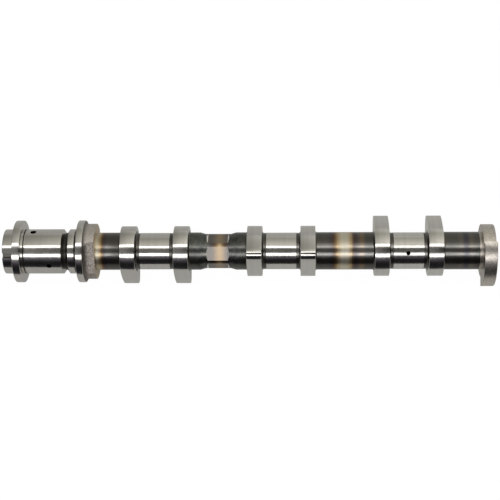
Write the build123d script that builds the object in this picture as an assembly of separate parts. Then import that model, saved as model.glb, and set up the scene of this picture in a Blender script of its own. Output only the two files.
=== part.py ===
from build123d import *
import math
import os

os.makedirs("parts", exist_ok=True)

# Camshaft for one bank of a V6 engine: one iron casting, ground on its journals, lobes and collars.
# X is the axis it turns about, with the drive end at -X and the middle of the front journal at zero.
# Clock angles turn about X from straight up, +Z, towards +Y. Sizes are in millimetres.

# Places along the engine
cylinder_count = 3
cylinder_spacing = 100.0
first_cylinder = 88.3  # front journal to the middle of the first pair of lobes
valve_spacing = 42.0  # from one lobe of a pair to the other
rear_overhang = 57.2  # last pair of lobes to the front of the trigger wheel

# Cam lobes: a base circle, two flank arcs and a nose arc, each tangent to the next
lobe_width = 11.75
base_radius = 19.9
valve_lift = 10.4
nose_radius = 5.6
action_half_angle = 65.0  # from the nose to where the flank leaves the base circle
lobe_edge = 0.4
first_nose_angle = -141.0
firing_step = 120.0

# Shaft and plain journals
shaft_radius = 14.85
root_flare = 1.4  # cast corner where the shaft meets a lobe
relief_radius = 14.35  # the unground strips beside each journal
journal_radius = 14.5
journal_length = 23.6

# Front journal and what lies ahead of it
front_journal_radius = 17.7
front_journal_length = 29.6
undercut_width = 0.8
undercut_depth = 0.8
spigot_shoulder = 1.1  # the journal-size ring between the undercut and the front collar
front_collar_width = 6.1
collar_radius = 24.7
collar_edge = 0.5
nose_length = 8.9
nose_edge = 0.5

# Behind the front journal
oil_groove_width = 5.3
oil_groove_floor = 1.6
oil_groove_depth = 2.9
seal_land_width = 4.9
rear_undercut_width = 2.3
rear_collar_width = 5.4

# Cast boss with two parallel flats, which hold the shaft while its bolt is tightened
boss_width = 8.7
boss_radius = 22.0
boss_corner = 2.0  # cast corner where the boss meets the collar
boss_edge = 0.3
boss_flat_apothem = 17.7
boss_flat_corner = 5.0  # round corner between a flat and the collar
boss_flat_angle = -33.5

# Necked waist between the first two cylinders, with six wrench flats
waist_radius = 13.65
waist_length = 20.0
waist_taper = 4.1
flat_length = 15.6  # its ends run out at 45 degrees
flat_count = 6
flat_apothem = 12.5
first_flat_angle = -25.7

# Trigger wheel: a plain rim with a raised sector that the position sensor reads
wheel_width = 9.8
wheel_radius = 20.8
wheel_edge = 0.8
sector_radius = 28.1
sector_angle = 109.0
sector_middle_angle = -56.5
wheel_relief_width = 2.0  # the strip turned bright in front of the wheel
wheel_relief_radius = 14.4

# Keyway, threaded bore, oil ways and lathe centre
keyway_width = 4.0
keyway_depth = 3.0
keyway_angle = -27.0
bolt_bore_radius = 5.1
bolt_bore_depth = 41.0
bolt_bore_mouth_radius = 6.6
gallery_radius = 3.0
front_feed_radius = 2.35
front_feed_place = -8.3
front_feed_angle = 44.0
rear_feed_radius = 2.0
rear_feed_place = 4.9
rear_feed_angle = -57.0
journal_feed_radius = 1.7
journal_feed_offset = -0.7  # ahead of the middle of the journal
journal_feed_angle = -24.0
centre_mouth_radius = 3.3
centre_pilot_radius = 1.25
centre_pilot_depth = 6.5

# Stations along the axis, worked out from the sizes above
journal_front = -front_journal_length / 2
journal_rear = front_journal_length / 2
front_stack = nose_length + front_collar_width + spigot_shoulder + undercut_width
front_face = journal_front - front_stack
boss_front = journal_rear + oil_groove_width + seal_land_width + rear_undercut_width + rear_collar_width
boss_rear = boss_front + boss_width
cylinders = [first_cylinder + number * cylinder_spacing for number in range(cylinder_count)]
wheel_front = cylinders[-1] + rear_overhang
wheel_rear = wheel_front + wheel_width
shaft_end = wheel_front - wheel_relief_width
waist_middle = (cylinders[0] + cylinders[1]) / 2
nose_centre = base_radius + valve_lift - nose_radius
pair_half_width = (valve_spacing + lobe_width) / 2


def turn(start, sections):
    """Turn a run of (length, front radius, rear radius) sections about X, from start rearwards."""
    outline = [(start, 0)]
    x = start
    for length, front_radius, rear_radius in sections:
        if outline[-1] != (x, front_radius):
            outline.append((x, front_radius))
        x += length
        outline.append((x, rear_radius))
    outline.append((x, 0))
    return revolve(make_face(Polyline(*outline, close=True)), Axis.X)


def plain(length, radius):
    """One parallel section."""
    return [(length, radius, radius)]


def edged(length, radius, edge):
    """A parallel section with both of its corners chamfered."""
    return [(edge, radius - edge, radius), (length - 2 * edge, radius, radius), (edge, radius, radius - edge)]


def clocked(shape, angle):
    """Turn a shape that points straight up to a clock angle."""
    return Rot(X=-angle) * shape


def drilled(start, radius, depth, mouth_radius=0.0):
    """A hole drilled along X from start, with a cone at its mouth where it has one."""
    hole = Pos(start, 0, 0) * Rot(Y=90) * Cylinder(radius, depth, align=(Align.CENTER, Align.CENTER, Align.MIN))
    if mouth_radius > radius:
        cone_depth = mouth_radius - radius
        hole += turn(start, [(cone_depth, mouth_radius, radius)])
    return hole


def cross_hole(x, radius, depth, angle):
    """A hole drilled in from the side, as far as the axis."""
    hole = Cylinder(radius, depth, align=(Align.CENTER, Align.CENTER, Align.MIN))
    return clocked(Pos(x, 0, 0) * hole, angle)


def front_end():
    """The drive end, turned and ground: nose, thrust collar, journal, oil groove, land and second collar."""
    oil_groove_wall = (oil_groove_width - oil_groove_floor) / 2
    oil_groove_radius = front_journal_radius - oil_groove_depth
    undercut_radius = front_journal_radius - undercut_depth
    sections = [(nose_edge, front_journal_radius - nose_edge, front_journal_radius)]
    sections += plain(nose_length - nose_edge, front_journal_radius)
    sections += edged(front_collar_width, collar_radius, collar_edge)
    sections += plain(spigot_shoulder, front_journal_radius)
    sections += plain(undercut_width, undercut_radius)
    sections += plain(front_journal_length, front_journal_radius)
    sections += [(oil_groove_wall, front_journal_radius, oil_groove_radius)]
    sections += plain(oil_groove_floor, oil_groove_radius)
    sections += [(oil_groove_wall, oil_groove_radius, front_journal_radius)]
    sections += plain(seal_land_width, front_journal_radius)
    sections += plain(rear_undercut_width, undercut_radius)
    sections += edged(rear_collar_width, collar_radius, collar_edge)
    return turn(front_face, sections)


def boss():
    """The cast boss behind the second collar, with a flat on each side that runs out into the collar."""
    body = turn(boss_front, [
        (boss_corner, boss_radius + boss_corner, boss_radius),
        (boss_width - boss_corner - boss_edge, boss_radius, boss_radius),
        (boss_edge, boss_radius, boss_radius - boss_edge)])
    corner_x = boss_front + boss_flat_corner
    corner_z = boss_flat_apothem + boss_flat_corner
    far_x = boss_rear + boss_edge
    top_z = boss_radius + boss_flat_corner
    side = make_face([
        CenterArc((corner_x, corner_z), boss_flat_corner, 180, 90),
        Line((corner_x, boss_flat_apothem), (far_x, boss_flat_apothem)),
        Line((far_x, boss_flat_apothem), (far_x, top_z)),
        Line((far_x, top_z), (boss_front, top_z)),
        Line((boss_front, top_z), (boss_front, corner_z))])
    cutter = extrude(Plane.XZ * side, boss_radius, both=True)
    for angle in (boss_flat_angle, boss_flat_angle + 180):
        body -= clocked(cutter, angle)
    return body


def waist():
    """The shaft between the first two cylinders, necked down and cut with wrench flats."""
    start = waist_middle - waist_length / 2 - waist_taper
    neck = turn(start, [
        (waist_taper, shaft_radius, waist_radius),
        (waist_length, waist_radius, waist_radius),
        (waist_taper, waist_radius, shaft_radius)])
    floor = flat_length / 2
    reach = waist_radius
    side = make_face(Polyline(
        (-floor, 0), (floor, 0), (floor + reach, reach), (-floor - reach, reach), close=True))
    cutter = Pos(waist_middle, 0, flat_apothem) * extrude(Plane.XZ * side, waist_radius, both=True)
    for number in range(flat_count):
        neck -= clocked(cutter, first_flat_angle + number * 360 / flat_count)
    return neck


def shaft():
    """The plain shaft from the boss to the wheel, flared at each lobe, with the journal of each cylinder."""
    relief_length = (valve_spacing - lobe_width - journal_length) / 2 - root_flare
    pieces = []
    x = boss_rear
    for middle in cylinders:
        if x < waist_middle < middle:
            waist_half = waist_length / 2 + waist_taper
            pieces.append(turn(x, plain(waist_middle - waist_half - x, shaft_radius)))
            pieces.append(waist())
            x = waist_middle + waist_half
        sections = plain(middle - pair_half_width - root_flare - x, shaft_radius)
        sections += [(root_flare, shaft_radius, shaft_radius + root_flare)]
        sections += plain(lobe_width, shaft_radius + root_flare)
        sections += [(root_flare, relief_radius + root_flare, relief_radius)]
        sections += plain(relief_length, relief_radius)
        sections += plain(journal_length, journal_radius)
        sections += plain(relief_length, relief_radius)
        sections += [(root_flare, relief_radius, relief_radius + root_flare)]
        sections += plain(lobe_width, shaft_radius + root_flare)
        sections += [(root_flare, shaft_radius + root_flare, shaft_radius)]
        pieces.append(turn(x, sections))
        x = middle + pair_half_width + root_flare
    pieces.append(turn(x, plain(shaft_end - x, shaft_radius) + plain(wheel_relief_width, wheel_relief_radius)))
    return pieces


def lobe():
    """One cam lobe, its nose straight up and its middle at zero, with every corner broken."""
    half_angle = math.radians(action_half_angle)
    flank_radius = (nose_centre ** 2 + base_radius ** 2 - nose_radius ** 2
                    - 2 * nose_centre * base_radius * math.cos(half_angle)) / (
        2 * (base_radius - nose_radius - nose_centre * math.cos(half_angle)))
    flank_reach = flank_radius - base_radius
    flank_x = -flank_reach * math.sin(half_angle)
    flank_y = -flank_reach * math.cos(half_angle)
    flank_start = 90 - action_half_angle
    nose_start = math.degrees(math.atan2(nose_centre - flank_y, -flank_x))
    flank = CenterArc((flank_x, flank_y), flank_radius, flank_start, nose_start - flank_start)
    nose = CenterArc((0, nose_centre), nose_radius, nose_start, 180 - 2 * nose_start)
    base = CenterArc((0, 0), base_radius, 90 + action_half_angle, 360 - 2 * action_half_angle)
    outline = make_face([flank, nose, mirror(flank, Plane.YZ), base])
    blank = Pos(-lobe_width / 2, 0, 0) * extrude(Plane.YZ * outline, lobe_width)
    return chamfer(blank.faces().filter_by(Axis.X).edges(), lobe_edge)


def trigger_wheel():
    """The rim and its raised sector, with the rear corner chamfered."""
    rim = turn(wheel_front, plain(wheel_width, wheel_radius))
    sweep = CenterArc((0, 0), sector_radius, 90 - sector_angle / 2, sector_angle)
    sector = make_face([sweep, Line((0, 0), sweep @ 0), Line(sweep @ 1, (0, 0))])
    sector = Pos(wheel_front, 0, 0) * extrude(Plane.YZ * sector, wheel_width)
    wheel = rim + clocked(sector, sector_middle_angle)
    return chamfer(wheel.faces().sort_by(Axis.X)[-1].edges(), wheel_edge)


camshaft = front_end() + boss()
for piece in shaft():
    camshaft += piece
camshaft += trigger_wheel()
cam = lobe()
for number, middle in enumerate(cylinders):
    turned_cam = clocked(cam, first_nose_angle + number * firing_step)
    for side in (-valve_spacing / 2, valve_spacing / 2):
        camshaft += Pos(middle + side, 0, 0) * turned_cam

keyway = Box(nose_length, keyway_width, 2 * keyway_depth, align=(Align.MIN, Align.CENTER, Align.CENTER))
camshaft -= clocked(Pos(front_face, 0, front_journal_radius) * keyway, keyway_angle)
camshaft -= drilled(front_face, bolt_bore_radius, bolt_bore_depth, bolt_bore_mouth_radius)
camshaft -= drilled(front_face, gallery_radius, cylinders[-1] - front_face)
camshaft -= cross_hole(front_feed_place, front_feed_radius, collar_radius, front_feed_angle)
camshaft -= cross_hole(rear_feed_place, rear_feed_radius, collar_radius, rear_feed_angle)
camshaft -= cross_hole(cylinders[-1] + journal_feed_offset, journal_feed_radius, base_radius, journal_feed_angle)
centre_cone = (centre_mouth_radius - centre_pilot_radius) * math.sqrt(3)
camshaft -= turn(wheel_rear - centre_cone, [(centre_cone, centre_pilot_radius, centre_mouth_radius)])
camshaft -= turn(wheel_rear - centre_pilot_depth, plain(centre_pilot_depth, centre_pilot_radius))

camshaft.label = "camshaft"
export_step(camshaft, "parts/camshaft.step")
print("length", round(wheel_rear - front_face, 2), "solids", len(camshaft.solids()), "volume", round(camshaft.volume))
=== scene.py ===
import math

import bpy
from mathutils import Matrix, Vector


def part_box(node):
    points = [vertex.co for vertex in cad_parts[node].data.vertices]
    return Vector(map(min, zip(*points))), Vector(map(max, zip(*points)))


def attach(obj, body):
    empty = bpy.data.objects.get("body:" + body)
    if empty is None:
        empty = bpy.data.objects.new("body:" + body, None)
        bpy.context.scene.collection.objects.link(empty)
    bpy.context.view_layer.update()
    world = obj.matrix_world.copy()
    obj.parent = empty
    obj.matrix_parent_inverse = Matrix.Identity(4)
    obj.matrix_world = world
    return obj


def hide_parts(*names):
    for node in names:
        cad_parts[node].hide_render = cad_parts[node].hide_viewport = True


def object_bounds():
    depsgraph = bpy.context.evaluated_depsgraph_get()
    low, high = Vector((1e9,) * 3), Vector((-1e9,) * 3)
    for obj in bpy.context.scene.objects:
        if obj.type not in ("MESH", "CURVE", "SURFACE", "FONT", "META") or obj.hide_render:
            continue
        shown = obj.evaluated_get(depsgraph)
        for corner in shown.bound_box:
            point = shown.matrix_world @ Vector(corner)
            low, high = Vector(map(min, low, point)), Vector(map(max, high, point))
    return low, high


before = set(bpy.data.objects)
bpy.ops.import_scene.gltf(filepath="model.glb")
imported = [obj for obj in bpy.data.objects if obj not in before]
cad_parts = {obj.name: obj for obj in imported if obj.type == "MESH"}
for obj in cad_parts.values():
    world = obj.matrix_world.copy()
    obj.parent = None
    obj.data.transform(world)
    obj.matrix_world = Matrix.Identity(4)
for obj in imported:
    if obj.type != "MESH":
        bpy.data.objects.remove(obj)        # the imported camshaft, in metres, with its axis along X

cad_low, cad_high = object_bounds()

# The turned body: nose, thrust collars, front journal, plain shaft and journals.
# It is one iron casting, turned between centres along its whole length and ground where it runs.
# A single profile is drawn station by station from the drive end and spun round the axis.
mm = 0.001
front_face, front_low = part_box("camshaft")[0].x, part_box("camshaft")[0].z
lathe_steps = 240
corner_steps = 5

front_journal_radius = 17.7 * mm
front_journal_length = 29.6 * mm
collar_radius = 24.7 * mm
collar_edge = 0.5 * mm
nose_length = 8.9 * mm
nose_edge = 0.5 * mm
front_collar_width = 6.1 * mm
spigot_width = 1.1 * mm
undercut_width = 0.8 * mm
undercut_depth = 0.8 * mm
oil_groove_wall = 1.85 * mm
oil_groove_floor = 1.6 * mm
oil_groove_depth = 2.9 * mm
seal_land_width = 4.9 * mm
rear_undercut_width = 2.3 * mm
rear_collar_width = 5.4 * mm
boss_width = 8.7 * mm
boss_radius = 22.0 * mm
boss_corner = 2.0 * mm
boss_edge = 0.3 * mm
shaft_radius = 14.85 * mm
relief_radius = 14.35 * mm
journal_radius = 14.5 * mm
journal_length = 23.6 * mm
journal_edge = 0.15 * mm
root_flare = 1.4 * mm
lobe_width = 11.75 * mm
valve_spacing = 42.0 * mm
cylinders = [88.3 * mm, 188.3 * mm, 288.3 * mm]
waist_radius = 13.65 * mm
waist_length = 20.0 * mm
waist_taper = 4.1 * mm
wheel_front = 345.5 * mm
wheel_relief_width = 2.0 * mm
wheel_relief_radius = 14.4 * mm
overlap = 1.0 * mm
hair = 0.001 * mm
weld = 0.002 * mm

profile = [(front_face, 0.0)]
finishes = []


def shoulder(radius):
    """Face straight in or out to a radius."""
    profile.append((profile[-1][0], radius))


def along(length, radius=None):
    """Turn along the axis, tapering if a new radius is given."""
    x, r = profile[-1]
    profile.append((x + length, r if radius is None else radius))


def along_to(x):
    """Turn parallel up to a station."""
    profile.append((x, profile[-1][1]))


def corner(length, rise, first):
    """A quarter round that leaves either along the axis or radially."""
    x, r = profile[-1]
    for step in range(1, corner_steps + 1):
        turn = math.radians(90) * step / corner_steps
        fast, slow = math.sin(turn), 1 - math.cos(turn)
        if first == "axial":
            profile.append((x + length * fast, r + rise * slow))
        else:
            profile.append((x + length * slow, r + rise * fast))


def finish_from(name):
    """All that is turned from this station on has this finish."""
    finishes.append((profile[-1][0] - hair, name))


def edged_band(length, radius, edge):
    """A parallel band with both of its corners broken."""
    shoulder(radius - edge)
    corner(edge, edge, "radial")
    along(length - 2 * edge)
    corner(edge, -edge, "axial")


finish_from("ground")
shoulder(front_journal_radius - nose_edge)
corner(nose_edge, nose_edge, "radial")
along(nose_length - nose_edge)
edged_band(front_collar_width, collar_radius, collar_edge)
shoulder(front_journal_radius)
along(spigot_width)
finish_from("groove")
shoulder(front_journal_radius - undercut_depth)
along(undercut_width)
finish_from("ground")
shoulder(front_journal_radius - journal_edge)
corner(journal_edge, journal_edge, "radial")
along(front_journal_length - 2 * journal_edge)
corner(journal_edge, -journal_edge, "axial")
along(oil_groove_wall, front_journal_radius - oil_groove_depth)
finish_from("groove")
along(oil_groove_floor)
along(oil_groove_wall, front_journal_radius - journal_edge)
finish_from("ground")
corner(journal_edge, journal_edge, "radial")
along(seal_land_width - 2 * journal_edge)
corner(journal_edge, -journal_edge, "axial")
finish_from("groove")
shoulder(front_journal_radius - undercut_depth)
along(rear_undercut_width)
finish_from("ground")
edged_band(rear_collar_width, collar_radius, collar_edge)
boss_front = profile[-1][0]
boss_rear = boss_front + boss_width
finish_from("cast")
shoulder(boss_radius + boss_corner)
corner(boss_corner, -boss_corner, "radial")
along(boss_width - boss_corner - boss_edge)
corner(boss_edge, -boss_edge, "axial")
shoulder(shaft_radius)
finish_from("tempered")

waist_middle = (cylinders[0] + cylinders[1]) / 2
waist_start = waist_middle - waist_length / 2
for number, middle in enumerate(cylinders):
    if number == 1:
        along_to(waist_start - waist_taper)
        along(waist_taper, waist_radius)
        along(waist_length)
        along(waist_taper, shaft_radius)
    along_to(middle - (valve_spacing + lobe_width) / 2 - root_flare)
    corner(root_flare, root_flare, "axial")
    along(lobe_width)
    corner(root_flare, relief_radius - shaft_radius - root_flare, "radial")
    along_to(middle - journal_length / 2)
    finish_from("ground")
    shoulder(journal_radius)
    along(journal_length)
    finish_from("tempered")
    shoulder(relief_radius)
    along_to(middle + (valve_spacing - lobe_width) / 2 - root_flare)
    corner(root_flare, shaft_radius + root_flare - relief_radius, "axial")
    along(lobe_width)
    corner(root_flare, -root_flare, "radial")
along_to(wheel_front - wheel_relief_width)
finish_from("milled")
shoulder(wheel_relief_radius)
along(wheel_relief_width + overlap)
shoulder(0.0)


def pen(x, y, z):
    """A new object with one vertex, selected and ready to be extruded or spun."""
    bpy.ops.object.select_all(action="DESELECT")
    bpy.ops.mesh.primitive_plane_add(size=mm)
    bpy.ops.object.mode_set(mode="EDIT")
    bpy.ops.mesh.select_mode(type="VERT")
    bpy.ops.mesh.select_all(action="SELECT")
    bpy.ops.mesh.merge(type="CENTER")
    bpy.ops.transform.translate(value=(x, y, z))
    return bpy.context.object


def stroke(x, y, z):
    """Extrude the selected vertex by an offset."""
    bpy.ops.mesh.extrude_vertices_move(TRANSFORM_OT_translate={"value": (x, y, z)})


def grown(x, y=0.0):
    """Fill the drawn outline and extrude it."""
    bpy.ops.mesh.select_all(action="SELECT")
    bpy.ops.mesh.remove_doubles(threshold=weld)
    bpy.ops.mesh.edge_face_add()
    bpy.ops.mesh.extrude_region_move(TRANSFORM_OT_translate={"value": (x, y, 0)})


def close_up(name):
    """Merge the doubles, turn the faces outwards, leave edit mode and name the piece."""
    bpy.ops.mesh.select_all(action="SELECT")
    bpy.ops.mesh.remove_doubles(threshold=weld)
    bpy.ops.mesh.normals_make_consistent(inside=False)
    bpy.ops.object.mode_set(mode="OBJECT")
    made = bpy.context.object
    made.name = name
    return made


def lathe(name, points, steps=lathe_steps):
    """Draw a profile of (station, radius) points and spin it once round the X axis."""
    pen(points[0][0], 0, points[0][1])
    for (x, r), (next_x, next_r) in zip(points, points[1:]):
        stroke(next_x - x, 0, next_r - r)
    bpy.ops.mesh.select_all(action="SELECT")
    bpy.ops.mesh.spin(steps=steps, angle=math.radians(360), center=(0, 0, 0), axis=(1, 0, 0))
    return close_up(name)


shaft = lathe("finished_camshaft", profile)


# Finishes: ground steel, milled steel, tempered oxide, wrench flats, raw casting and drilled holes.
# Each metal has the marks of its own tool, and the shaft has the colours that hardening left.
def add(tree, kind, links=(), **values):
    """Add a shader node, set its properties and sockets, and link (output, input name or number)."""
    made = tree.nodes.new(kind)
    for name, value in values.items():
        if hasattr(made, name):
            setattr(made, name, value)
        else:
            made.inputs[name.replace("_", " ")].default_value = value
    for output, target in links:
        tree.links.new(output, made.inputs[target])
    return made


def maths(tree, operation, first, second=0.0):
    """One Math node, with a socket or a number on each side; returns its output."""
    made = tree.nodes.new("ShaderNodeMath")
    made.operation = operation
    for place, value in enumerate((first, second)):
        if isinstance(value, (int, float)):
            made.inputs[place].default_value = value
        else:
            tree.links.new(value, made.inputs[place])
    return made.outputs[0]


def mixed(tree, factor, first, second):
    """Mix two colours, each a socket or a value; returns the output."""
    made = tree.nodes.new("ShaderNodeMix")
    made.data_type = "RGBA"
    for place, value in ((0, factor), (6, first), (7, second)):
        if isinstance(value, (int, float)):
            made.inputs[place].default_value = value
        elif isinstance(value, tuple):
            made.inputs[place].default_value = (*value, 1.0)
        else:
            tree.links.new(value, made.inputs[place])
    return made.outputs[2]


def new_group(name, inputs, outputs):
    """A shader node group with named inputs and outputs, each (name, socket type, default)."""
    tree = bpy.data.node_groups.new(name, "ShaderNodeTree")
    for label, kind, default in inputs:
        socket = tree.interface.new_socket(label, in_out="INPUT", socket_type=kind)
        socket.default_value = default
    for label, kind in outputs:
        tree.interface.new_socket(label, in_out="OUTPUT", socket_type=kind)
    return tree, tree.nodes.new("NodeGroupInput").outputs, tree.nodes.new("NodeGroupOutput").inputs


NUMBER = "NodeSocketFloat"
COLOUR = "NodeSocketColor"

# Tool marks run round the axis on what is turned, and in rings on the faces square to it.
tool_marks, given, wanted = new_group(
    "tool_marks", [("Spacing", NUMBER, 0.0003), ("Wander", NUMBER, 0.3)],
    [("Lines", NUMBER), ("Patches", NUMBER), ("Bands", NUMBER)])
place = add(tool_marks, "ShaderNodeTexCoord")
axes = add(tool_marks, "ShaderNodeSeparateXYZ", [(place.outputs["Object"], 0)])
facing = add(tool_marks, "ShaderNodeSeparateXYZ", [(place.outputs["Normal"], 0)])
square = maths(tool_marks, "GREATER_THAN", maths(tool_marks, "ABSOLUTE", facing.outputs[0]), 0.8)
radius = maths(tool_marks, "SQRT", maths(
    tool_marks, "ADD", maths(tool_marks, "POWER", axes.outputs[1], 2.0),
    maths(tool_marks, "POWER", axes.outputs[2], 2.0)))
ring = maths(tool_marks, "MULTIPLY", radius, square)
track = maths(tool_marks, "ADD", axes.outputs[0], ring)
patch = add(tool_marks, "ShaderNodeTexNoise", [(place.outputs["Object"], "Vector")], Scale=90.0, Detail=4.0,
            Roughness=0.6)
line_place = maths(tool_marks, "DIVIDE", track, given["Spacing"])
line_place = maths(tool_marks, "ADD", line_place,
                   maths(tool_marks, "MULTIPLY", patch.outputs["Fac"], given["Wander"]))
line = add(tool_marks, "ShaderNodeTexNoise", [(line_place, "W")], noise_dimensions="1D", Scale=1.0,
           Detail=3.0, Roughness=0.7)
band_lines = 9.0
band = add(tool_marks, "ShaderNodeTexNoise", [(maths(tool_marks, "DIVIDE", line_place, band_lines), "W")],
           noise_dimensions="1D", Scale=1.0, Detail=2.0)
tool_marks.links.new(line.outputs["Fac"], wanted["Lines"])
tool_marks.links.new(patch.outputs["Fac"], wanted["Patches"])
tool_marks.links.new(band.outputs["Fac"], wanted["Bands"])

# One temper band: from straw at its hottest out to brown, purple and blue, fading into the oxide.
# It starts at its own place on that scale, so a cooler ring shows straw only, and it passes on its heat.
temper_band, given, wanted = new_group(
    "temper_band", [("Colour", COLOUR, (0, 0, 0, 1)), ("Heat", NUMBER, 0.0), ("Centre", NUMBER, 0.0),
                    ("Half width", NUMBER, 0.01), ("Start", NUMBER, 0.0)],
    [("Colour", COLOUR), ("Heat", NUMBER)])
place = add(temper_band, "ShaderNodeTexCoord")
axes = add(temper_band, "ShaderNodeSeparateXYZ", [(place.outputs["Object"], 0)])
drift = add(temper_band, "ShaderNodeTexNoise", [(place.outputs["Object"], "Vector")], Scale=45.0, Detail=2.0)
drift_width = 2.0 * mm
drift = maths(temper_band, "MULTIPLY", maths(temper_band, "SUBTRACT", drift.outputs["Fac"], 0.5), drift_width)
offset = maths(temper_band, "SUBTRACT", maths(temper_band, "ADD", axes.outputs[0], drift), given["Centre"])
reach = maths(temper_band, "DIVIDE", maths(temper_band, "ABSOLUTE", offset), given["Half width"])
cooled = maths(temper_band, "ADD", maths(temper_band, "MULTIPLY", reach, 0.5), given["Start"])
colours = add(temper_band, "ShaderNodeValToRGB", [(cooled, "Fac")])
temper_stops = [
    (0.00, (0.57, 0.545, 0.46, 1.0)),
    (0.10, (0.60, 0.555, 0.45, 1.0)),
    (0.20, (0.54, 0.45, 0.32, 1.0)),
    (0.29, (0.39, 0.29, 0.165, 1.0)),
    (0.36, (0.23, 0.152, 0.08, 1.0)),
    (0.42, (0.125, 0.08, 0.047, 1.0)),
    (0.49, (0.092, 0.063, 0.051, 1.0)),
    (0.56, (0.08, 0.068, 0.072, 1.0)),
    (0.62, (0.078, 0.078, 0.09, 0.6)),
    (0.72, (0.09, 0.09, 0.09, 0.15)),
    (1.00, (0.10, 0.095, 0.09, 0.0)),
]
stops = colours.color_ramp.elements
stops[0].position, stops[0].color = temper_stops[0]
stops[1].position, stops[1].color = temper_stops[-1]
for position, colour in temper_stops[1:-1]:
    stops.new(position).color = colour
heat = add(temper_band, "ShaderNodeMapRange", [(cooled, "Value")], interpolation_type="SMOOTHSTEP",
           From_Min=0.4, From_Max=0.1, To_Min=0.0, To_Max=1.0)
temper_band.links.new(mixed(temper_band, colours.outputs["Alpha"], given["Colour"], colours.outputs["Color"]),
                      wanted["Colour"])
temper_band.links.new(maths(temper_band, "MAXIMUM", heat.outputs[0], given["Heat"]), wanted["Heat"])


def placed(tree, group, **values):
    """Put a node group into a material with its own values."""
    made = tree.nodes.new("ShaderNodeGroup")
    made.node_tree = group
    for name, value in values.items():
        made.inputs[name.replace("_", " ")].default_value = value
    return made


wear_gain = 2.2


def metal(name, base, dark, spacing, roughness, spread, depth):
    """A tooled metal: base and dark colours mixed by its marks, with roughness and a fine bump.

    The marks stand spacing apart and are depth deep, and spread is how far the roughness wanders.
    It returns the material, its tree, its shader, its marks and its bump.
    """
    material = bpy.data.materials.new(name)
    material.use_nodes = True
    tree = material.node_tree
    shader = tree.nodes["Principled BSDF"]
    shader.inputs["Metallic"].default_value = 1.0
    marks = placed(tree, tool_marks, Spacing=spacing)
    wear = maths(tree, "MULTIPLY", marks.outputs["Bands"], marks.outputs["Patches"])
    wear = maths(tree, "MULTIPLY", wear, wear_gain)
    tone = mixed(tree, wear, dark, base)
    tree.links.new(tone, shader.inputs["Base Color"])
    rough = maths(tree, "ADD", roughness, maths(tree, "MULTIPLY", marks.outputs["Patches"], spread))
    tree.links.new(rough, shader.inputs["Roughness"])
    bump = add(tree, "ShaderNodeBump", [(marks.outputs["Lines"], "Height")], Strength=1.0, Distance=depth)
    tree.links.new(bump.outputs[0], shader.inputs["Normal"])
    return material, tree, shader, marks, bump


ground_steel = metal("ground_steel", (0.62, 0.61, 0.585), (0.55, 0.54, 0.52), 0.35 * mm, 0.12, 0.085,
                     0.0006 * mm)[0]
milled_steel, tree, shader = metal("milled_steel", (0.58, 0.545, 0.50), (0.43, 0.40, 0.365), 0.5 * mm, 0.27,
                                   0.14, 0.006 * mm)[:3]
grain = add(tree, "ShaderNodeTexNoise", [(add(tree, "ShaderNodeTexCoord").outputs["Object"], "Vector")],
            Scale=800.0, Detail=3.0, Roughness=0.6)
grain = add(tree, "ShaderNodeMapRange", [(grain.outputs["Fac"], "Value")], From_Min=0.36, From_Max=0.64,
            To_Min=0.8, To_Max=1.2)
grained = add(tree, "ShaderNodeVectorMath", [(shader.inputs["Base Color"].links[0].from_socket, 0),
                                             (grain.outputs[0], "Scale")], operation="SCALE")
tree.links.new(grained.outputs[0], shader.inputs["Base Color"])
drilled_steel = metal("drilled_steel", (0.20, 0.19, 0.18), (0.10, 0.095, 0.09), 0.4 * mm, 0.4, 0.2,
                      0.004 * mm)[0]
# The oil groove, the undercuts and the oil holes: dark steel, made darker still by painted shade where their
# walls shade them.
shaded_groove_steel = metal("shaded_groove_steel", (0.06, 0.058, 0.054), (0.03, 0.029, 0.027), 0.4 * mm, 0.3, 0.2,
                     0.003 * mm)[0]


def straw(tree, colour, rings, tint):
    """Lay soft rings of one tint over a colour, each (centre, half width, strength)."""
    axes = add(tree, "ShaderNodeSeparateXYZ", [(add(tree, "ShaderNodeTexCoord").outputs["Object"], 0)])
    for centre, half_width, strength in rings:
        away = maths(tree, "ABSOLUTE", maths(tree, "SUBTRACT", axes.outputs[0], centre))
        near = add(tree, "ShaderNodeMapRange", [(away, "Value")], interpolation_type="SMOOTHSTEP",
                   From_Min=half_width, From_Max=0.0, To_Min=0.0, To_Max=strength)
        colour = mixed(tree, near.outputs[0], colour, tint)
    return colour


# The hot rings go from straw to blue, each (centre, half width, start on that scale).
waist_ring = waist_middle + 1.4 * mm
hardened_rings = [
    (boss_rear + 1.5 * mm, 6.8 * mm, 0.08),
    (waist_ring, 11.0 * mm, 0.25),
    (237.8 * mm, 9.4 * mm, 0.0),
]
# The cooler rings beside them have one colour each.
faint_tint = (0.15, 0.13, 0.112)
faint_rings = [(249.0 * mm, 3.0 * mm, 0.4), (328.7 * mm, 3.4 * mm, 0.5), (336.9 * mm, 2.8 * mm, 0.6)]
brown_tint = (0.20, 0.142, 0.09)
brown_rings = [(251.6 * mm, 3.4 * mm, 0.9)]
purple_tint = (0.06, 0.054, 0.075)
purple_rings = [(245.6 * mm, 2.4 * mm, 0.6), (332.8 * mm, 3.2 * mm, 0.8)]
oxide = (0.108, 0.105, 0.094)
oxide_dark = (0.075, 0.073, 0.066)
tempered_shaft, tree, shader, marks = metal("tempered_shaft", oxide, oxide_dark, 0.6 * mm, 0.20, 0.16,
                                            0.003 * mm)[:4]
shader.inputs["Metallic"].default_value = 0.94
slow = add(tree, "ShaderNodeTexNoise", [(add(tree, "ShaderNodeTexCoord").outputs["Object"], "Vector")],
           Scale=60.0, Detail=3.0)
blue_cast = mixed(tree, slow.outputs["Fac"], (0.068, 0.078, 0.085), (0.115, 0.103, 0.08))
blue_share = 0.45
colour = mixed(tree, blue_share, shader.inputs["Base Color"].links[0].from_socket, blue_cast)

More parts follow.
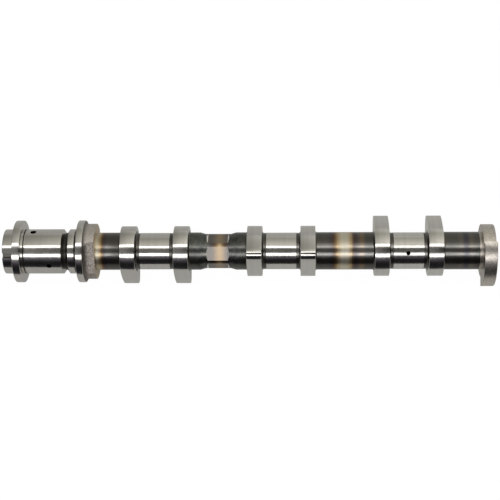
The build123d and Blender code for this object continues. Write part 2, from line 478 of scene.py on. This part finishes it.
# Round the waist the skin is blotched, blue green and grey.
blotch = add(tree, "ShaderNodeTexNoise", [(add(tree, "ShaderNodeTexCoord").outputs["Object"], "Vector")],
             Scale=230.0, Detail=4.0, Roughness=0.65)
blotch = add(tree, "ShaderNodeMapRange", [(blotch.outputs["Fac"], "Value")], From_Min=0.38, From_Max=0.62)
blotch = mixed(tree, blotch.outputs[0], (0.045, 0.062, 0.062), (0.155, 0.155, 0.14))
along = add(tree, "ShaderNodeSeparateXYZ", [(add(tree, "ShaderNodeTexCoord").outputs["Object"], 0)])
near = maths(tree, "ABSOLUTE", maths(tree, "SUBTRACT", along.outputs[0], waist_middle))
near = add(tree, "ShaderNodeMapRange", [(near, "Value")], interpolation_type="SMOOTHSTEP", From_Min=27 * mm,
           From_Max=12 * mm, To_Min=0.0, To_Max=0.75)
colour = mixed(tree, near.outputs[0], colour, blotch)
heat = 0.0
for centre, half_width, start in hardened_rings:
    ring_node = placed(tree, temper_band, Centre=centre, Half_width=half_width, Start=start)
    tree.links.new(colour, ring_node.inputs["Colour"])
    if heat:
        tree.links.new(heat, ring_node.inputs["Heat"])
    colour, heat = ring_node.outputs["Colour"], ring_node.outputs["Heat"]
colour = straw(tree, colour, faint_rings, faint_tint)
colour = straw(tree, colour, brown_rings, brown_tint)
colour = straw(tree, colour, purple_rings, purple_tint)
tree.links.new(colour, shader.inputs["Base Color"])

# Along the shaft the skin changes: each stop is (place, how dull it is, gloss of its oxide film).
skin_length = 360 * mm
station = add(tree, "ShaderNodeMapRange", [(along.outputs[0], "Value")], From_Min=0.0, From_Max=skin_length)
skin = add(tree, "ShaderNodeValToRGB", [(station.outputs[0], "Fac")])
skin_stops = [
    (0.125, 0.23, 0.03),
    (0.141, 0.19, 0.54),
    (0.160, 0.22, 0.03),
    (0.310, 0.24, 0.12),
    (0.470, 0.24, 0.12),
    (0.600, 0.21, 0.60),
    (0.628, 0.21, 0.60),
    (0.640, 0.19, 0.30),
    (0.676, 0.20, 0.30),
    (0.695, 0.17, 0.90),
    (0.712, 0.21, 0.60),
    (0.890, 0.22, 0.42),
    (0.913, 0.17, 0.55),
    (0.925, 0.20, 0.40),
    (0.936, 0.16, 0.55),
    (0.950, 0.20, 0.45),
]
stops = skin.color_ramp.elements
for number, (position, dull, film) in enumerate(skin_stops):
    stop = stops[number] if number < 2 else stops.new(position)
    stop.position = position
    stop.color = (dull, film, 0.0, 1.0)
skin = add(tree, "ShaderNodeSeparateColor", [(skin.outputs["Color"], 0)])
seen_from = add(tree, "ShaderNodeLayerWeight", Blend=0.5)
square_on = add(tree, "ShaderNodeMapRange", [(seen_from.outputs["Facing"], "Value")],
                interpolation_type="SMOOTHSTEP", From_Min=0.12, From_Max=0.05, To_Min=0.0, To_Max=1.0)
film = maths(tree, "MULTIPLY", square_on.outputs[0], skin.outputs["Green"])
tree.links.new(film, shader.inputs["Coat Weight"])
shader.inputs["Coat IOR"].default_value = 2.5
shader.inputs["Coat Roughness"].default_value = 0.22
heated_dullness = 0.35
dull = add(tree, "ShaderNodeMix", [(heat, "Factor"), (skin.outputs["Red"], 2)])
dull.inputs[3].default_value = heated_dullness
patchy = maths(tree, "MULTIPLY", marks.outputs["Patches"], 0.08)
tree.links.new(maths(tree, "ADD", dull.outputs[0], patchy), shader.inputs["Roughness"])

# The wrench flats carry the straw of the waist ring, and the run-out at each end of them is painted near
# white: a painted highlight where the ends catch the lights.
wrench_flats, tree, shader = metal("wrench_flats", (0.20, 0.188, 0.178), (0.13, 0.123, 0.118), 0.8 * mm, 0.25,
                                   0.10, 0.003 * mm)[:3]
colour = straw(tree, shader.inputs["Base Color"].links[0].from_socket, [(waist_ring, 6.6 * mm, 1.0)],
               (0.33, 0.255, 0.175))
lean = add(tree, "ShaderNodeSeparateXYZ", [(add(tree, "ShaderNodeTexCoord").outputs["Normal"], 0)])
painted_run_out_glint = maths(tree, "GREATER_THAN", maths(tree, "ABSOLUTE", lean.outputs[0]), 0.3)
tree.links.new(mixed(tree, painted_run_out_glint, colour, (0.92, 0.90, 0.86)), shader.inputs["Base Color"])
smooth = shader.inputs["Roughness"].links[0].from_socket
run_out_dullness = maths(tree, "MULTIPLY", painted_run_out_glint, 0.35)
tree.links.new(maths(tree, "ADD", smooth, run_out_dullness), shader.inputs["Roughness"])

# The raw casting of the boss: pinkish brown skin with sand grain and shallow pits.
sand_depth = 0.16 * mm
cast_iron, tree, shader, _, bump = metal("cast_iron", (0.36, 0.335, 0.315), (0.20, 0.185, 0.175), 2.0 * mm,
                                         0.46, 0.2, sand_depth)
cast_place = add(tree, "ShaderNodeTexCoord").outputs["Object"]
grain = add(tree, "ShaderNodeTexNoise", [(cast_place, "Vector")], Scale=750.0, Detail=4.0, Roughness=0.6)
tree.links.new(grain.outputs["Fac"], bump.inputs["Height"])
mottle = add(tree, "ShaderNodeMapRange", [(grain.outputs["Fac"], "Value")], From_Min=0.34, From_Max=0.64)
speckle = mixed(tree, mottle.outputs[0], (0.235, 0.205, 0.185), (0.56, 0.52, 0.48))
# Painted shade: the boss darkens over its first few millimetres towards the collar, where the collar shades
# it.
painted_collar_shade_width = 3.4 * mm
painted_collar_shade = add(tree, "ShaderNodeSeparateXYZ", [(cast_place, 0)])
painted_collar_shade = add(tree, "ShaderNodeMapRange", [(painted_collar_shade.outputs[0], "Value")], interpolation_type="SMOOTHSTEP",
           From_Min=boss_front + painted_collar_shade_width, From_Max=boss_front, To_Min=0.0, To_Max=0.62)
# Painted light: the side of the boss that faces the bright part of the room, towards +Y, is made paler.
lean = add(tree, "ShaderNodeSeparateXYZ", [(add(tree, "ShaderNodeTexCoord").outputs["Normal"], 0)])
painted_upper_light = add(tree, "ShaderNodeMapRange", [(lean.outputs[1], "Value")], From_Min=-0.16, From_Max=0.02,
            To_Min=0.0, To_Max=0.6)
speckle = mixed(tree, painted_upper_light.outputs[0], speckle, (0.62, 0.585, 0.56))
tree.links.new(mixed(tree, painted_collar_shade.outputs[0], speckle, (0.06, 0.052, 0.045)), shader.inputs["Base Color"])

palette = {"ground": ground_steel, "milled": milled_steel, "tempered": tempered_shaft, "cast": cast_iron,
           "drilled": drilled_steel, "groove": shaded_groove_steel, "flats": wrench_flats}
for material in palette.values():
    shaft.data.materials.append(material)
slots = {name: index for index, name in enumerate(palette)}
for face in shaft.data.polygons:
    name = [finish for start, finish in finishes if start <= face.center.x][-1]
    face.material_index = slots[name]


def made_of(piece, name):
    """Give a piece one finish."""
    piece.data.materials.clear()
    piece.data.materials.append(palette[name])


def boolean(target, tool, operation):
    """Unite a tool with a target or cut it away, and remove the tool."""
    bpy.ops.object.select_all(action="DESELECT")
    bpy.context.view_layer.objects.active = target
    modifier = target.modifiers.new("boolean", "BOOLEAN")
    modifier.object = tool
    modifier.operation = operation
    modifier.solver = "EXACT"
    modifier.material_mode = "TRANSFER"
    bpy.ops.object.modifier_apply(modifier=modifier.name)
    bpy.data.objects.remove(tool)


def twin(piece):
    """A copy of a piece with a mesh of its own."""
    made = piece.copy()
    made.data = piece.data.copy()
    bpy.context.scene.collection.objects.link(made)
    return made


def clocked(piece, angle, x=0.0):
    """Turn a piece that points straight up to a clock angle, and slide it along the axis."""
    piece.data.transform(Matrix.Translation((x, 0, 0)) @ Matrix.Rotation(math.radians(-angle), 4, "X"))
    return piece


# The six wrench flats of the waist, milled into the neck after turning, with a run-out of 45 degrees
# at each end. They carry the straw colour of the ring that was heated here.
flat_length = 15.6 * mm
flat_apothem = 12.5 * mm
flat_count = 6
first_flat_angle = -25.7

pen(waist_middle - flat_length / 2, -waist_radius, flat_apothem)
stroke(flat_length, 0, 0)
stroke(waist_radius, 0, waist_radius)
stroke(-flat_length - 2 * waist_radius, 0, 0)
grown(0, 2 * waist_radius)
mill = close_up("mill")
made_of(mill, "flats")
for number in range(flat_count):
    boolean(shaft, clocked(twin(mill), first_flat_angle + number * 360 / flat_count), "DIFFERENCE")
bpy.data.objects.remove(mill)

# The six cam lobes, cast on the shaft and ground to their profile in pairs, one pair to a cylinder.
# Each is a base circle, two long flanks and a small nose, with every corner broken by a fine chamfer.
base_radius = 19.9 * mm
valve_lift = 10.4 * mm
nose_radius = 5.6 * mm
action_half_angle = 65.0
lobe_edge = 0.4 * mm
nose_angles = [-141.0, -21.0, 99.0]

nose_centre = base_radius + valve_lift - nose_radius
half_angle = math.radians(action_half_angle)
flank_radius = (nose_centre ** 2 + base_radius ** 2 - nose_radius ** 2
                - 2 * nose_centre * base_radius * math.cos(half_angle)) / (
    2 * (base_radius - nose_radius - nose_centre * math.cos(half_angle)))
flank_y = (flank_radius - base_radius) * math.sin(half_angle)
flank_z = -(flank_radius - base_radius) * math.cos(half_angle)
nose_half_angle = math.degrees(math.atan2(flank_y, nose_centre - flank_z))


def sweep(degrees, y, z, steps):
    """Carry the selected vertex round a centre, towards larger clock angles."""
    bpy.ops.mesh.spin(steps=steps, angle=math.radians(degrees), center=(0, y, z), axis=(1, 0, 0))


def select_edges(wanted):
    """Select only the edges that a test picks."""
    bpy.ops.mesh.select_mode(type="EDGE")
    bpy.ops.mesh.select_all(action="DESELECT")
    bpy.ops.object.mode_set(mode="OBJECT")
    mesh = bpy.context.object.data
    for edge in mesh.edges:
        edge.select = wanted([mesh.vertices[number].co for number in edge.vertices])
    bpy.ops.object.mode_set(mode="EDIT")


pen(-lobe_width / 2, base_radius * math.sin(half_angle), base_radius * math.cos(half_angle))
base_steps, flank_steps, nose_steps = 150, 24, 48
sweep(360 - 2 * action_half_angle, 0, 0, base_steps)
sweep(action_half_angle - nose_half_angle, flank_y, flank_z, flank_steps)
sweep(2 * nose_half_angle, 0, nose_centre, nose_steps)
sweep(action_half_angle - nose_half_angle, -flank_y, flank_z, flank_steps)
grown(lobe_width)
select_edges(lambda ends: abs(ends[0].x - ends[1].x) < lobe_width / 2)
bpy.ops.mesh.bevel(offset=lobe_edge, segments=3, affect="EDGES")
lobe = close_up("lobe")
made_of(lobe, "ground")
for middle, angle in zip(cylinders, nose_angles):
    for side in (-valve_spacing / 2, valve_spacing / 2):
        boolean(shaft, clocked(twin(lobe), angle, middle + side), "UNION")
bpy.data.objects.remove(lobe)

# The boss behind the second collar is left as it was cast, with two parallel flats to hold the shaft by.
# Each flat rises into the collar in a round corner, and is cut with a tool of that outline.
boss_flat_apothem = 17.7 * mm
boss_flat_corner = 5.0 * mm
boss_flat_angle = -33.5
cutter_reach = 24.0 * mm
cutter_steps = 8

pen(boss_front, -cutter_reach, boss_radius + boss_flat_corner)
stroke(0, 0, boss_flat_apothem - boss_radius)
for step in range(cutter_steps):
    now, then = (math.radians(90) * number / cutter_steps for number in (step, step + 1))
    stroke(boss_flat_corner * (math.cos(now) - math.cos(then)), 0,
           boss_flat_corner * (math.sin(now) - math.sin(then)))
stroke(boss_width - boss_flat_corner + boss_edge, 0, 0)
stroke(0, 0, boss_radius + boss_flat_corner - boss_flat_apothem)
grown(0, 2 * cutter_reach)
cutter = close_up("cutter")
made_of(cutter, "cast")
for angle in (boss_flat_angle, boss_flat_angle + 180):
    boolean(shaft, clocked(twin(cutter), angle), "DIFFERENCE")
bpy.data.objects.remove(cutter)

# The trigger wheel at the rear end, cast on and turned, with a raised sector for the position sensor.
wheel_width = 9.8 * mm
wheel_radius = 20.8 * mm
sector_radius = 28.1 * mm
sector_angle = 109.0
sector_middle_angle = -56.5
wheel_edge = 0.8 * mm
sector_steps, wheel_steps = 80, 170

start = math.radians(-sector_angle / 2)
finish = math.radians(sector_angle / 2)
step = sector_radius - wheel_radius
pen(wheel_front, sector_radius * math.sin(start), sector_radius * math.cos(start))
sweep(sector_angle, 0, 0, sector_steps)
stroke(0, -step * math.sin(finish), -step * math.cos(finish))
sweep(360 - sector_angle, 0, 0, wheel_steps)
stroke(0, step * math.sin(start), step * math.cos(start))
grown(wheel_width)
select_edges(lambda ends: min(end.x for end in ends) > wheel_front + wheel_width / 2)
bpy.ops.mesh.bevel(offset=wheel_edge, segments=3, affect="EDGES")
wheel = close_up("wheel")
made_of(wheel, "milled")
boolean(shaft, clocked(wheel, sector_middle_angle), "UNION")

# The drilled and cut features: keyway, bolt bore, oil ways and the lathe centre in the rear end.
# The bolt bore is tapped, and its thread is a separate ridge that follows the wall.
keyway_width = 4.0 * mm
keyway_depth = 3.0 * mm
keyway_angle = -27.0
bore_radius = 5.1 * mm
thread_radius = 6.0 * mm
thread_length = 26.0 * mm
bore_depth = 41.0 * mm
bore_tip = 1.2 * mm
bore_steps = 96
mouth_radius = 6.6 * mm
gallery_radius = 3.0 * mm
gallery_tip = 1.7 * mm
feed_reach = 25.0 * mm
feed_sides = 64
# Each oil feed is (station, radius, clock angle).
feeds = [
    (-8.3 * mm, 2.35 * mm, 44.0),
    (4.9 * mm, 2.0 * mm, -57.0),
    (cylinders[2] - 0.7 * mm, 1.7 * mm, -24.0),
]
centre_mouth_radius = 3.3 * mm
centre_pilot_radius = 1.25 * mm
centre_pilot_depth = 6.5 * mm
centre_steps = 64
rear_face = wheel_front + wheel_width
clear = 1.0 * mm

bpy.ops.object.select_all(action="DESELECT")
bpy.ops.mesh.primitive_cube_add(size=1.0, scale=(nose_length + clear, keyway_width, 2 * keyway_depth),
                                location=(front_face + (nose_length - clear) / 2, 0, front_journal_radius))
bpy.ops.object.transform_apply(location=True, rotation=True, scale=True)
slot = bpy.context.object
made_of(slot, "drilled")
boolean(shaft, clocked(slot, keyway_angle), "DIFFERENCE")
mouth_depth = mouth_radius - thread_radius
bore = lathe("bore", [
    (front_face - clear, 0), (front_face - clear, mouth_radius + clear),
    (front_face + mouth_depth, thread_radius), (front_face + thread_length, thread_radius),
    (front_face + thread_length, bore_radius), (front_face + bore_depth, bore_radius),
    (front_face + bore_depth + bore_tip, gallery_radius), (cylinders[2], gallery_radius),
    (cylinders[2] + gallery_tip, 0)], bore_steps)
made_of(bore, "drilled")
boolean(shaft, bore, "DIFFERENCE")
for x, radius_of_hole, angle in feeds:
    bpy.ops.object.select_all(action="DESELECT")
    bpy.ops.mesh.primitive_cylinder_add(vertices=feed_sides, radius=radius_of_hole, depth=feed_reach,
                                        location=(0, 0, feed_reach / 2))
    bpy.ops.object.transform_apply(location=True, rotation=True, scale=True)
    drill = bpy.context.object
    made_of(drill, "groove")
    boolean(shaft, clocked(drill, angle, x), "DIFFERENCE")
centre_cone = (centre_mouth_radius - centre_pilot_radius) * math.sqrt(3)
slope = (centre_mouth_radius - centre_pilot_radius) / centre_cone
centre = lathe("centre", [
    (rear_face - centre_pilot_depth, 0), (rear_face - centre_pilot_depth, centre_pilot_radius),
    (rear_face - centre_cone, centre_pilot_radius), (rear_face + clear, centre_mouth_radius + clear * slope),
    (rear_face + clear, 0)], centre_steps)
made_of(centre, "milled")
boolean(shaft, centre, "DIFFERENCE")

thread_pitch = 1.75 * mm
thread_turns = 13
thread_steps = 48
flank_run = 0.85 * thread_pitch / 2
crest_width = 0.25 * thread_pitch / 2
thread_foot = thread_radius + 0.2 * mm
pen(front_face + mouth_depth, 0, thread_foot)
stroke(flank_run, 0, bore_radius - thread_foot)
stroke(crest_width, 0, 0)
stroke(flank_run, 0, thread_foot - bore_radius)
bpy.ops.mesh.select_all(action="SELECT")
bpy.ops.mesh.edge_face_add()
bpy.ops.object.mode_set(mode="OBJECT")
thread = bpy.context.object
thread.name = "bolt_thread"
screw = thread.modifiers.new("screw", "SCREW")
screw.axis = "X"
screw.screw_offset = thread_pitch
screw.iterations = thread_turns
screw.steps = thread_steps
screw.render_steps = thread_steps
bpy.ops.object.modifier_apply(modifier=screw.name)
bpy.ops.object.mode_set(mode="EDIT")
bpy.ops.mesh.select_all(action="SELECT")
bpy.ops.mesh.fill_holes(sides=6)
thread = close_up("bolt_thread")
made_of(thread, "drilled")

sharpest_smoothed = 20.0
for piece in (shaft, thread):
    bpy.ops.object.select_all(action="DESELECT")
    piece.select_set(True)
    bpy.context.view_layer.objects.active = piece
    bpy.ops.object.shade_smooth_by_angle(angle=math.radians(sharpest_smoothed))
    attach(piece, "root")
    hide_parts("camshaft")

# The table under the shaft, pale and matt, with the shaft lying on its collars, and glowing.
# To the camera it is a plain white glow almost without shadow; the steel mirrors a dim glowing sheet, a
# little brighter towards the rear, that ends in near black a little in front.
bpy.ops.object.select_all(action="DESELECT")
bpy.ops.mesh.primitive_plane_add(size=8.0, location=(0, 0, front_low))
floor = bpy.context.object
floor.name = "table_top"
glowing_sheet = bpy.data.materials.new("glowing_sheet")
glowing_sheet.use_nodes = True
tree = glowing_sheet.node_tree
tree.nodes.clear()
sheet_edge = -122 * mm
sheet_softness = 12 * mm
sheet_length = 300 * mm
across = add(tree, "ShaderNodeSeparateXYZ", [(add(tree, "ShaderNodeTexCoord").outputs["Object"], 0)])
on_sheet = add(tree, "ShaderNodeMapRange", [(across.outputs[1], "Value")],
               From_Min=sheet_edge - sheet_softness, From_Max=sheet_edge + sheet_softness)
seen = add(tree, "ShaderNodeLightPath").outputs["Is Camera Ray"]
along_sheet = add(tree, "ShaderNodeMapRange", [(across.outputs[0], "Value")], From_Min=0.0,
                  From_Max=sheet_length)
bright = mixed(tree, along_sheet.outputs[0], (0.28, 0.275, 0.267), (0.315, 0.315, 0.302))
shade = mixed(tree, on_sheet.outputs[0], (0.01, 0.01, 0.012), bright)
lit = add(tree, "ShaderNodeBsdfDiffuse", [(mixed(tree, seen, shade, (0.06, 0.06, 0.06)), "Color")])
glow = add(tree, "ShaderNodeEmission", [(mixed(tree, seen, shade, (0.97, 0.97, 0.97)), "Color")])
sheet = tree.nodes.new("ShaderNodeAddShader")
tree.links.new(lit.outputs[0], sheet.inputs[0])
tree.links.new(glow.outputs[0], sheet.inputs[1])
surface = tree.nodes.new("ShaderNodeOutputMaterial")
tree.links.new(sheet.outputs[0], surface.inputs[0])
floor.data.materials.append(glowing_sheet)


# The studio: two long strip lights above the shaft, on either side of the camera, and a dim room.
# Each stop of the room's walls is (clock angle round the shaft, colour, how fast it brightens along X).
def strip_light(name, angle, width, radiance, colour):
    """A long light over the shaft at a clock angle, shining at the axis."""
    distance = 1.0
    length = 2.2
    lamp = bpy.data.lights.new(name, "AREA")
    lamp.shape = "RECTANGLE"
    lamp.size = length
    lamp.size_y = 2 * distance * math.tan(math.radians(width / 2))
    lamp.energy = radiance * math.pi * lamp.size * lamp.size_y
    lamp.color = colour
    holder = bpy.data.objects.new(name, lamp)
    bpy.context.scene.collection.objects.link(holder)
    turn = math.radians(angle)
    holder.location = (middle_x, distance * math.sin(turn), distance * math.cos(turn))
    holder.rotation_euler = (-turn, 0, 0)


middle_x = (cad_low.x + cad_high.x) / 2
strip_light("strip_above", 8.6, 10.2, 2.72, (1.0, 0.985, 0.955))
strip_light("strip_below", -37.3, 13.7, 3.36, (1.0, 0.99, 0.975))

world = bpy.data.worlds.new("studio")
bpy.context.scene.world = world
world.use_nodes = True
tree = world.node_tree
tree.nodes.clear()
direction = add(tree, "ShaderNodeSeparateXYZ", [(add(tree, "ShaderNodeTexCoord").outputs["Generated"], 0)])
clock = maths(tree, "ARCTAN2", direction.outputs[1], direction.outputs[2])
share = add(tree, "ShaderNodeMapRange", [(clock, "Value")], From_Min=-math.pi, From_Max=math.pi)
walls = add(tree, "ShaderNodeValToRGB", [(share.outputs[0], "Fac")])
wall_stops = [
    (-180, (0.33, 0.33, 0.33), 0.0),
    (-92, (0.013, 0.013, 0.013), 0.0),
    (-74, (0.013, 0.013, 0.014), 0.0),
    (-66, (0.034, 0.031, 0.038), 0.0),
    (-58, (0.085, 0.078, 0.095), -1.0),
    (-48, (0.11, 0.10, 0.115), -2.0),
    (-26, (0.13, 0.127, 0.12), -2.4),
    (2, (0.125, 0.122, 0.116), -2.4),
    (14, (0.72, 0.695, 0.64), 1.0),
    (28, (0.80, 0.77, 0.70), 1.1),
    (40, (0.65, 0.63, 0.565), 1.1),
    (56, (0.53, 0.515, 0.455), 1.1),
    (68, (0.44, 0.435, 0.38), 1.1),
    (80, (0.50, 0.495, 0.445), 1.1),
    (92, (0.66, 0.66, 0.62), 1.1),
    (180, (0.33, 0.33, 0.33), 0.0),
]
steepest = 2.5
stops = walls.color_ramp.elements
stops[1].position = 1.0
for number, (angle, colour, rise) in enumerate(wall_stops):
    last = number == len(wall_stops) - 1
    stop = stops[0] if number == 0 else stops[-1] if last else stops.new((angle + 180) / 360)
    stop.color = (*colour, (rise / steepest + 1) / 2)
rise = add(tree, "ShaderNodeMapRange", [(walls.outputs["Alpha"], "Value")], To_Min=-steepest, To_Max=steepest)
slant = maths(tree, "ADD", maths(tree, "MULTIPLY", rise.outputs[0], direction.outputs[0]), 1.0)
far_ends = add(tree, "ShaderNodeMapRange", [(maths(tree, "ABSOLUTE", direction.outputs[0]), "Value")],
               From_Min=0.4, From_Max=0.9, To_Min=1.0, To_Max=0.25)
dimmest = 0.1
level = maths(tree, "MULTIPLY", maths(tree, "MAXIMUM", slant, dimmest), far_ends.outputs[0])
room = add(tree, "ShaderNodeVectorMath", [(walls.outputs["Color"], 0), (level, "Scale")], operation="SCALE")
seen = add(tree, "ShaderNodeLightPath").outputs["Is Camera Ray"]
shown = mixed(tree, seen, room.outputs[0], (0.95, 0.95, 0.95))
air = add(tree, "ShaderNodeBackground", [(shown, "Color")])
sky = tree.nodes.new("ShaderNodeOutputWorld")
tree.links.new(air.outputs[0], sky.inputs[0])
bpy.context.scene.view_settings.view_transform = "Standard"

# The camera looks down on the shaft from a little in front, turned slightly towards the rear end.
camera_distance = 1053.3 * mm
camera_angle = -16.0
camera_yaw = 2.24
camera_roll = 0.12
camera_aim = 163.3 * mm
camera_rise = 0.77 * mm
camera_lens = 95.4

out = Vector((0, math.sin(math.radians(camera_angle)), math.cos(math.radians(camera_angle))))
axis = Vector((1, 0, 0))
yaw = math.radians(camera_yaw)
back = axis * math.sin(yaw) + out * math.cos(yaw)
right = axis * math.cos(yaw) - out * math.sin(yaw)
up = back.cross(right)
roll = math.radians(camera_roll)
tilted_right = right * math.cos(roll) - up * math.sin(roll)
tilted_up = up * math.cos(roll) + right * math.sin(roll)
eye = axis * camera_aim + back * camera_distance + up * camera_rise
lens = bpy.data.cameras.new("camera")
lens.lens = camera_lens
lens.sensor_width = 36.0
lens.clip_start = 0.05
camera = bpy.data.objects.new("camera", lens)
bpy.context.scene.collection.objects.link(camera)
turned = Matrix((tilted_right, tilted_up, back)).transposed().to_4x4()
camera.matrix_world = Matrix.Translation(eye) @ turned
bpy.context.scene.camera = camera
